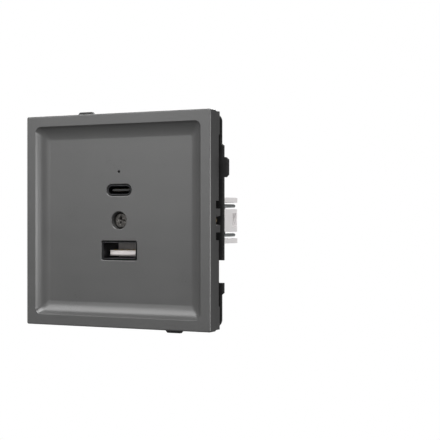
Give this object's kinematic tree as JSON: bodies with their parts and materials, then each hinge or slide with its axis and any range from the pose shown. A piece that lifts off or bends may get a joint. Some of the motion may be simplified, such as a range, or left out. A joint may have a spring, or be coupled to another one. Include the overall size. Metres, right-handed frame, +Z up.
{
  "type": "usb wall socket",
  "caption": "Flush wall socket with a square dished cover, a USB-A and a USB-C port, a steel mounting plate, spreading claws and a boxed supply behind.",
  "frame": {"origin": "centre of the 60 mm box-screw pitch, on the wall face of the mounting plate", "axes": "+Y into the wall, so the cover faces -Y; +Z up; +X to the right as seen from the front"},
  "size_m": [0.0744, 0.0439, 0.0744],
  "materials": {
    "cover_plastic": "matte graphite moulding, very fine grain",
    "screw_steel": "dark passivated steel",
    "plate_paint": "satin dark painted steel sheet",
    "bowl_plastic": "satin dark grey moulding",
    "housing_plastic": "matte light grey moulding",
    "lid_plastic": "matte light grey moulding",
    "shell_steel": "bright drawn steel",
    "tongue_white": "white moulding",
    "tongue_black": "black moulding",
    "gold_contact": "gold plating",
    "clear_rod": "clear polycarbonate",
    "lamp_white": "lamp with yellow phosphor",
    "board_green": "solder resist on glass laminate",
    "link_black": "black header",
    "ferrite": "sintered ferrite",
    "winding_tape": "yellow winding tape",
    "can_alu": "aluminium can",
    "rectifier_black": "black epoxy",
    "fuse_brown": "brown moulded fuse",
    "terminal_brass": "bright brass",
    "claw_yellow": "yellow passivated steel",
    "spring_steel": "bright drawn wire",
    "zinc_plate": "galvanised steel, green-grey"
  },
  "bodies": {
    "socket": {"cover_plate": "cover_plastic", "cover_screw": "screw_steel", "mounting_plate": "plate_paint", "inner_bowl": "bowl_plastic", "housing": "housing_plastic", "rear_lid": "lid_plastic", "usb_a_shell": "shell_steel", "usb_a_tongue": "tongue_white", "usb_a_contacts": "gold_contact", "usb_c_shell": "shell_steel", "usb_c_tongue": "tongue_black", "usb_c_contacts": "gold_contact", "light_pipe": "clear_rod", "status_led": "lamp_white", "port_board": "board_green", "board_link": "link_black", "power_board": "board_green", "transformer_core": "ferrite", "transformer_coil": "winding_tape", "bridge_rectifier": "rectifier_black", "fuse": "fuse_brown", "input_capacitor": "can_alu", "output_capacitor_a": "can_alu", "output_capacitor_b": "can_alu", "live_busbar": "terminal_brass", "neutral_busbar": "terminal_brass", "claw_spring_right": "spring_steel", "claw_spring_left": "spring_steel", "bay_plate_right": "zinc_plate", "bay_plate_left": "zinc_plate"},
    "claw_screw_right": {"claw_screw_right": "claw_yellow"},
    "claw_screw_left": {"claw_screw_left": "claw_yellow"},
    "claw_right": {"claw_right": "claw_yellow"},
    "claw_left": {"claw_left": "claw_yellow"},
    "live_clamp_screw": {"live_clamp_screw": "screw_steel"},
    "neutral_clamp_screw": {"neutral_clamp_screw": "screw_steel"},
    "live_clamp": {"live_clamp": "terminal_brass"},
    "neutral_clamp": {"neutral_clamp": "terminal_brass"}
  },
  "joints": [
    {"name": "claw_screw_right_turn", "type": "hinge", "parent": "socket", "child": "claw_screw_right", "pos_m": [0.0215, 0, 0], "axis": [0, 1, 0], "range_deg": [0, 4320]},
    {"name": "claw_right_swing", "type": "hinge", "parent": "socket", "child": "claw_right", "pos_m": [0.02874, 0.0122, 0], "axis": [0, 0, 1], "range_deg": [0, 45], "deforming": ["claw_spring_right"]},
    {"name": "claw_screw_left_turn", "type": "hinge", "parent": "socket", "child": "claw_screw_left", "pos_m": [-0.0215, 0, 0], "axis": [0, 1, 0], "range_deg": [0, 4320]},
    {"name": "claw_left_swing", "type": "hinge", "parent": "socket", "child": "claw_left", "pos_m": [-0.02874, 0.0122, 0], "axis": [0, 0, -1], "range_deg": [0, 45], "deforming": ["claw_spring_left"]},
    {"name": "live_clamp_screw_turn", "type": "hinge", "parent": "socket", "child": "live_clamp_screw", "pos_m": [0.0055, 0.027, -0.02], "axis": [0, 0, 1], "range_deg": [0, 2160]},
    {"name": "live_clamp_rise", "type": "slide", "parent": "socket", "child": "live_clamp", "axis": [0, 0, -1], "range_m": [0, 0.003]},
    {"name": "neutral_clamp_screw_turn", "type": "hinge", "parent": "socket", "child": "neutral_clamp_screw", "pos_m": [-0.0055, 0.027, -0.02], "axis": [0, 0, 1], "range_deg": [0, 2160]},
    {"name": "neutral_clamp_rise", "type": "slide", "parent": "socket", "child": "neutral_clamp", "axis": [0, 0, -1], "range_m": [0, 0.003]}
  ],
  "couplings": [
    {"joint": "claw_right_swing", "follows": "claw_screw_right_turn", "ratio": 0.010417},
    {"joint": "claw_left_swing", "follows": "claw_screw_left_turn", "ratio": 0.010417},
    {"joint": "live_clamp_screw_turn", "follows": "live_clamp_rise", "rad_per_m": 12566},
    {"joint": "neutral_clamp_screw_turn", "follows": "neutral_clamp_rise", "rad_per_m": 12566}
  ]
}
